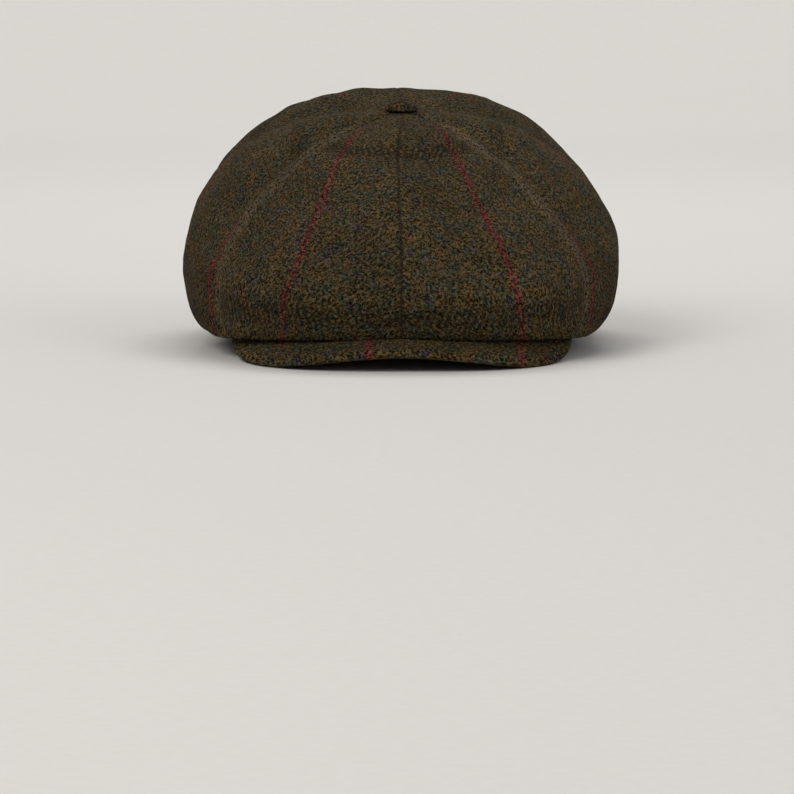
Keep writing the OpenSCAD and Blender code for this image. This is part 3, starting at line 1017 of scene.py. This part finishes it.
def make_lining():
    for index, kind in enumerate(PANELS):
        for side, hand in SIDES:
            v, a = grid(LINING_ROWS, LINING_COLS)
            u = mix(SEAMS[index], SEAMS[index + 1], a) * side
            outer = lining_point(u, v, 0.0)
            lengths = arc_lengths(outer, 1)
            h = lining_relief(index, a, v, lengths[:, -1:], outer)
            uvs = np.stack([lengths, arc_lengths(outer, 0)], -1)
            name = f"lining_{kind}_{hand}"
            obj = crown_sheet("satin_" + name, outer, lining_point(u, v, LINING_T), h, side, uvs)
            attach(obj, name, SATIN, "lining", bends=index < 2)


make_lining()

CANVAS_ROWS = 50
CANVAS_COLS = 30
# How far down the front and round it the canvas reaches, and its depth inside the tweed
CANVAS_DOWN = (0.26, 0.64)
CANVAS_ROUND = (2, 50)
CANVAS_DEPTH = 2.0
CANVAS_T = 0.5


def make_interlining():
    """The canvas between the tweed and the lining of each front panel."""
    for side, hand in SIDES:
        v, a = grid(CANVAS_ROWS, CANVAS_COLS, CANVAS_DOWN, CANVAS_ROUND)
        outer = crown_point(a * side, v, CANVAS_DEPTH)
        inner = crown_point(a * side, v, CANVAS_DEPTH + CANVAS_T)
        h = relief(0, a / SEAMS[1], v, arc_lengths(outer, 1)[:, -1:], outer)
        name = f"interlining_{hand}"
        obj = crown_sheet("canvas_" + name, outer, inner, h, side, hole_rows=0)
        attach(obj, name, CANVAS, "canvas", bends=True)


make_interlining()

# ---- rim: sweatband, its stitches, tape and tab ----

BAND_RIPPLE = 0.12
TAPE_GAP = 0.3
TAPE_T = 0.8
TAPE_LOW = 0.6
TAPE_HIGH = 7.6
STITCHES = 112
STITCH_LENGTH = 3.1
STITCH_RADIUS = 0.24
# A stitch stands this far in from the band's inner wall, this high on it, and slants this much
STITCH_IN = 0.12
STITCH_UP = 2.6
STITCH_SLANT = 0.06
TAB_T = 0.45
TAB_CURL = 0.35


def on_rim_plane(points):
    """Tilts points from the flat XY plane to the rim's plane."""
    y = points[..., 1] - BAND_BACK
    c, s = math.cos(RIM_TILT), math.sin(RIM_TILT)
    return np.stack([points[..., 0], BAND_BACK + y * c + points[..., 2] * s,
                     -y * s + points[..., 2] * c], -1)


def head_ring(name, grow, thick, low, high, steps=260, rows=22, ripple=0.0):
    """An oval strip of cloth or leather with rounded edges that stands on the rim's plane."""
    angle = np.linspace(0, 2 * math.pi, steps, endpoint=False)
    height = np.linspace(0, 1, rows)
    t, a = np.meshgrid(height, angle, indexing="ij")
    round_off = thick * 0.5 * (1 - np.sqrt(np.clip(1 - (np.abs(2 * t - 1) ** 24), 0, 1)))
    wave = ripple * np.sin(5 * a + 1.2) * t + 0.6 * ripple * np.sin(11 * a + 0.4) * t

    def wall(g):
        return on_rim_plane(np.stack([(HEAD_A + g) * np.sin(a), -(HEAD_B + g) * np.cos(a),
                                      mix(low, high, t)], -1))

    return sheet_object(name, wall(grow + thick - round_off + wave), wall(grow + round_off + wave),
                        closed=True)


def make_rim():
    band = head_ring("leather_sweatband", 0.0, BAND_T, 0.0, BAND_H, rows=40, ripple=BAND_RIPPLE)
    attach(band, "sweatband", LEATHER, "sweatband_leather", bends=True)
    tape = head_ring("cotton_rim_tape", BAND_T + TAPE_GAP, TAPE_T, TAPE_LOW, TAPE_HIGH)
    attach(tape, "rim_tape", TAPE, "tape", bends=True)


def capsule(length, radius, rings=9, sides=8):
    """A thread stitch along X: a slim bar with round ends."""
    t = np.linspace(-1, 1, rings)
    r = radius * np.sqrt(np.clip(1 - np.abs(t) ** 5, 0.02, 1))
    a = np.linspace(0, 2 * math.pi, sides, endpoint=False)
    points = np.array([[x * length / 2, ri * math.cos(b), ri * math.sin(b)]
                       for x, ri in zip(t, r) for b in a])
    faces = [(i * sides + j, i * sides + (j + 1) % sides, (i + 1) * sides + (j + 1) % sides,
              (i + 1) * sides + j) for i in range(rings - 1) for j in range(sides)]
    faces.append(tuple(range(sides - 1, -1, -1)))
    faces.append(tuple((rings - 1) * sides + j for j in range(sides)))
    return points, faces


def make_stitches():
    """A row of stitches round the inside of the sweatband, near its lower edge."""
    bar, bar_faces = capsule(STITCH_LENGTH, STITCH_RADIUS)
    vertices, faces = [], []
    for k in range(STITCHES):
        a = 2 * math.pi * k / STITCHES
        place = np.array([(HEAD_A - STITCH_IN) * math.sin(a), (HEAD_B - STITCH_IN) * math.cos(a),
                          STITCH_UP])
        turn = math.atan2(-HEAD_B * math.sin(a), HEAD_A * math.cos(a)) + STITCH_SLANT
        c, s = math.cos(turn), math.sin(turn)
        spun = np.stack([bar[:, 0] * c - bar[:, 1] * s, bar[:, 0] * s + bar[:, 1] * c, bar[:, 2]], -1)
        base = k * len(bar)
        vertices.append(on_rim_plane(spun + place))
        faces.extend(tuple(base + i for i in f) for f in bar_faces)
    obj = make_object("thread_sweatband_stitches", np.concatenate(vertices), faces)
    attach(obj, "sweatband_stitches", BAND_THREAD, "sweatband_thread", bends=True)


def make_tab():
    """A blank woven tab, curled a little."""
    low, high = box_mm("size_tab")
    t, a = grid(26, 30, across=(-1, 1))
    x = a * (high[0] - low[0]) / 2
    z = mix(low[2], high[2], t)
    y = mix(low[1], high[1], t * 0.5 + 0.1) - TAB_CURL * a ** 2 * (1 - t)
    front = np.stack([x, y, z], -1)
    back = front + np.array([0, TAB_T, 0])
    obj = sheet_object("woven_size_tab", back, front)
    bevel = obj.modifiers.new("soft_edge", "BEVEL")
    bevel.width = 0.12 * MM
    bevel.segments = 2
    attach(obj, "size_tab", TAPE, "tape")


make_rim()
make_stitches()
make_tab()

# ---- peak ----

PEAK_COLS = 181
# How strongly columns gather at the ends, where the outline turns
PEAK_GATHER = 1.35
# The covers' inner side, from the middle of the peak's thickness
COVER_INNER = 1.12
# The rounded edge starts this far in, and the cover lies flat up to this share of the way out
WRAP = 2.2
FLAT_SHARE = 0.66
LINE_ON_PEAK = -14.5


def peak_plan(t):
    """Inner and outer outline of the peak. t runs from -1 to 1, from one end to the other."""
    s = np.sin(np.pi / 2 * t)
    outer = np.stack([PEAK_W / 2 * s, -PEAK_CENTRE - (PEAK_REACH - PEAK_CENTRE)
                      * (1 - np.abs(s) ** PEAK_POWER).clip(0, 1) ** (1 / PEAK_POWER)], -1)
    return rim_outline(PEAK_END * t, PEAK_SLIT), outer


def peak_grid(path, t):
    """Sweeps a cross-section along the peak. path holds (share or None, inset, height) points:
    a share of the way out, or a distance in from the edge."""
    inner, outer = peak_plan(t)
    length = np.linalg.norm(outer - inner, axis=-1)
    rows = []
    for share, inset, height in path:
        w = np.full_like(t, share) if share is not None \
            else 1 - np.minimum(inset / length, inset / 6)
        plan = mix(inner, outer, w[:, None])
        rows.append(np.stack([plan[:, 0], plan[:, 1], peak_mid(plan[:, 0], plan[:, 1]) + height], -1))
    return np.array(rows)


def peak_cover(name, node, outside, inside, flip, line):
    """One of the peak's cloths, with a crimson line at a distance from the middle."""
    t = np.linspace(-1, 1, PEAK_COLS)
    t = np.sign(t) * (1 - (1 - np.abs(t)) ** PEAK_GATHER)
    upper, lower = peak_grid(outside, t), peak_grid(inside, t)
    normal = grid_normals(upper)
    soften = np.linspace(1, 0, len(outside))[:, None] ** 0.5
    h = 0.10 * waves(upper, size=26, count=7, seed=21) + 0.04 * waves(upper, size=8, count=9, seed=22)
    upper = upper + normal * (h * soften)[..., None]
    uvs = np.stack([upper[..., 0] - line + HALF_LINE, arc_lengths(upper, 0)], -1)
    obj = sheet_object(name, upper, lower, uvs, flip=flip)
    attach(obj, node, PEAK_TWEED, "peak_tweed", "peak")


def make_peak():
    """The two covers. The top one comes round the edge, and the under one's edge rolls in to meet it."""
    half, inner = PEAK_T / 2, COVER_INNER
    shares = np.linspace(0, FLAT_SHARE, 44)
    arc = np.radians(np.linspace(90, -84, 34))
    roll = np.radians(np.linspace(90, 0, 10))
    top_out = [(s, 0, half) for s in shares] \
        + [(None, WRAP - WRAP * math.cos(a), half * math.sin(a)) for a in arc]
    top_in = [(s, 0, inner) for s in shares] \
        + [(None, WRAP - inner * math.cos(a), inner * math.sin(a)) for a in arc]
    peak_cover("tweed_peak_top", "peak_top_cover", top_out, top_in, True, LINE_ON_PEAK)
    under_out = [(s, 0, -half) for s in shares] \
        + [(None, WRAP + 1.1 - 0.8 * math.cos(a), -half + 0.8 - 0.8 * math.sin(a)) for a in roll]
    under_in = [(s, 0, -inner) for s in shares] \
        + [(None, WRAP + 1.2 - 0.2 * math.cos(a), -inner - 0.15 + 0.1 * math.sin(a)) for a in roll]
    peak_cover("tweed_peak_under", "peak_under_cover", under_out, under_in, False, LINE_ON_PEAK)


make_peak()

# ---- button ----

# The cloth stands out round the CAD's cover and hangs lower, to hide the steel under it
BUTTON_GROW = 0.3
BUTTON_DROP = 0.8
# Its edge is this far above its lowest point, and it curls in under the edge by this much
BUTTON_EDGE = 0.9
BUTTON_TUCK = 0.85
BUTTON_TURN = 1.288
BUTTON_CLOTH_T = 0.5
BUTTON_RINGS = 44
BUTTON_STEPS = 96
# Place of the button's middle on the cloth, away from the crimson line
BUTTON_ON_CLOTH = 20


def make_button():
    """The button's cloth: a low dome whose gathers run in under its edge."""
    radius = BUTTON_HIGH[0] + BUTTON_GROW
    edge = BUTTON_LOW[2] - BUTTON_DROP + BUTTON_EDGE
    height = BUTTON_HIGH[2] - BUTTON_LOW[2] + BUTTON_DROP
    t, a = np.meshgrid(np.linspace(0, 1, BUTTON_RINGS),
                       np.linspace(0, 2 * math.pi, BUTTON_STEPS, endpoint=False), indexing="ij")
    # The outline comes over the top, and past a quarter turn it tucks in under the edge
    quarter = math.pi / 2
    turn = t * BUTTON_TURN * quarter
    over = turn.clip(0, quarter)
    tucked = (turn - quarter) * 2.2
    r = np.where(turn > quarter, radius - BUTTON_EDGE * (1 - np.cos(tucked)),
                 radius * np.sin(over) ** 0.92)
    z = np.where(turn > quarter, edge - BUTTON_TUCK * np.sin(tucked),
                 edge + height * np.cos(over) ** 1.15)
    gather = ramp(0.55, 0.9, t) * (0.16 * np.cos(16 * a + 0.5) + 0.08 * np.cos(27 * a))
    r = r + gather * np.sin(math.pi * t) ** 0.3
    r[0] = 0.02

    def dome(less):
        radial = np.maximum(r - less, 0.01)
        return np.stack([POLE[0] + radial * np.sin(a), POLE[1] - radial * np.cos(a),
                         z - less * np.cos(over)], -1)

    outer = dome(0.0)
    reach = arc_lengths(outer, 0)
    uvs = np.stack([reach * np.sin(a), -reach * np.cos(a)], -1) + BUTTON_ON_CLOTH
    obj = sheet_object("tweed_button_cover", outer, dome(BUTTON_CLOTH_T), uvs, closed=True)
    attach(obj, "button_cover", TWEED, "tweed")


make_button()

# ---- CAD pieces that stay, with their materials ----

KEPT = (
    ("crown_patch", CANVAS, "canvas"),
    ("peak_board", BOARD, "board"),
    ("peak_tacks", BROWN_THREAD, "brown_thread"),
    ("button_shell", STEEL, "button_steel"),
    ("button_back", STEEL, "button_steel"),
    ("button_shank", STEEL, "button_steel"),
)
for node_name, node_material, node_slot in KEPT:
    dress(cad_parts[node_name], node_material, node_slot)

# ---- studio ----


# All in metres: how far the floor reaches, the radius of its bend, the top of the wall, steps round
FLOOR_REACH = 3.4
FLOOR_BEND = 0.8
WALL_TOP = 1.4
FLOOR_STEPS = 96
WORLD_COLOUR = (0.95, 0.97, 1.0, 1)
WORLD_STRENGTH = 0.32


def make_studio():
    """A round pale floor that sweeps up into a low wall all round."""
    flat = FLOOR_REACH - FLOOR_BEND
    profile = [(r, 0.0) for r in (0.9, 1.8, flat)]
    profile += [(flat + FLOOR_BEND * math.sin(a), FLOOR_BEND - FLOOR_BEND * math.cos(a))
                for a in np.linspace(0.05, math.pi / 2, 24)]
    profile.append((FLOOR_REACH, WALL_TOP))
    turns = [2 * math.pi * k / FLOOR_STEPS for k in range(FLOOR_STEPS)]
    vertices = [(r * math.sin(a), r * math.cos(a), z) for r, z in profile for a in turns]
    faces = [tuple(range(FLOOR_STEPS - 1, -1, -1))]
    for ring in range(len(profile) - 1):
        for k in range(FLOOR_STEPS):
            here = ring * FLOOR_STEPS + k
            beside = ring * FLOOR_STEPS + (k + 1) % FLOOR_STEPS
            faces.append((here, beside, beside + FLOOR_STEPS, here + FLOOR_STEPS))
    mesh = bpy.data.meshes.new("studio_floor")
    mesh.from_pydata(vertices, [], faces)
    mesh.shade_smooth()
    mesh.materials.append(paper_floor("studio_paper"))
    add_object("studio_floor", mesh)


def area_light(name, place, aim, size, power, colour):
    """A rectangular soft light at a place in metres, turned to shine at its aim."""
    data = bpy.data.lights.new(name, "AREA")
    data.shape = "RECTANGLE"
    data.size, data.size_y = size
    data.energy = power
    data.color = colour
    light = add_object(name, data)
    light.location = place
    direction = np.array(aim) - np.array(place)
    flat = math.hypot(direction[0], direction[1])
    light.rotation_euler = (math.atan2(flat, -direction[2]), 0, math.atan2(-direction[0], direction[1]))


def make_lights():
    aim = (0, 0, 0.06)
    area_light("key", (-1.1, -1.5, 1.5), aim, (1.2, 1.2), 24, (1.0, 0.97, 0.93))
    area_light("fill", (1.5, -1.4, 0.9), aim, (1.4, 1.4), 9, (1.0, 0.98, 0.96))
    area_light("top_back", (0.1, 1.0, 1.6), aim, (1.6, 0.8), 16, (1.0, 0.98, 0.95))
    area_light("backdrop", (0, 2.3, 1.5), (0, 3.1, 0.2), (3.6, 0.8), 20, (1.0, 0.98, 0.96))
    world = bpy.data.worlds.new("studio_world")
    world.use_nodes = True
    background = world.node_tree.nodes["Background"]
    background.inputs["Color"].default_value = WORLD_COLOUR
    background.inputs["Strength"].default_value = WORLD_STRENGTH
    bpy.context.scene.world = world
    bpy.context.scene.view_settings.view_transform = "Standard"


make_studio()
make_lights()
